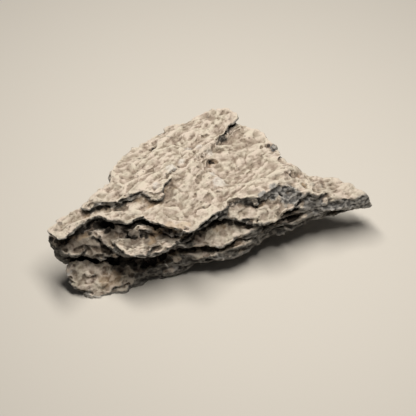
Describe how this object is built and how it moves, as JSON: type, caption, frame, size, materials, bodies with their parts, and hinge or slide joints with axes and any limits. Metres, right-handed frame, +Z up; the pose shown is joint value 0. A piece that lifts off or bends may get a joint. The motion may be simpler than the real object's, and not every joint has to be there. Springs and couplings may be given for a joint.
{
  "type": "aquascape stone",
  "caption": "Long wedge of layered grey limestone with a flat weathered top, ragged ledges and deep crevices along its front, and a thin overhanging tip; lies flat.",
  "frame": {"origin": "on the surface that the stone lies on, under the middle of its box", "axes": "+X along the stone's length towards its thin tip, +Y from its ledged front to its back, +Z up"},
  "size_m": [0.1568, 0.076, 0.041],
  "materials": {
    "stone": "matt weathered limestone, warm grey with blue-grey broken faces"
  },
  "bodies": {
    "root": {"stone": "stone"}
  },
  "joints": []
}
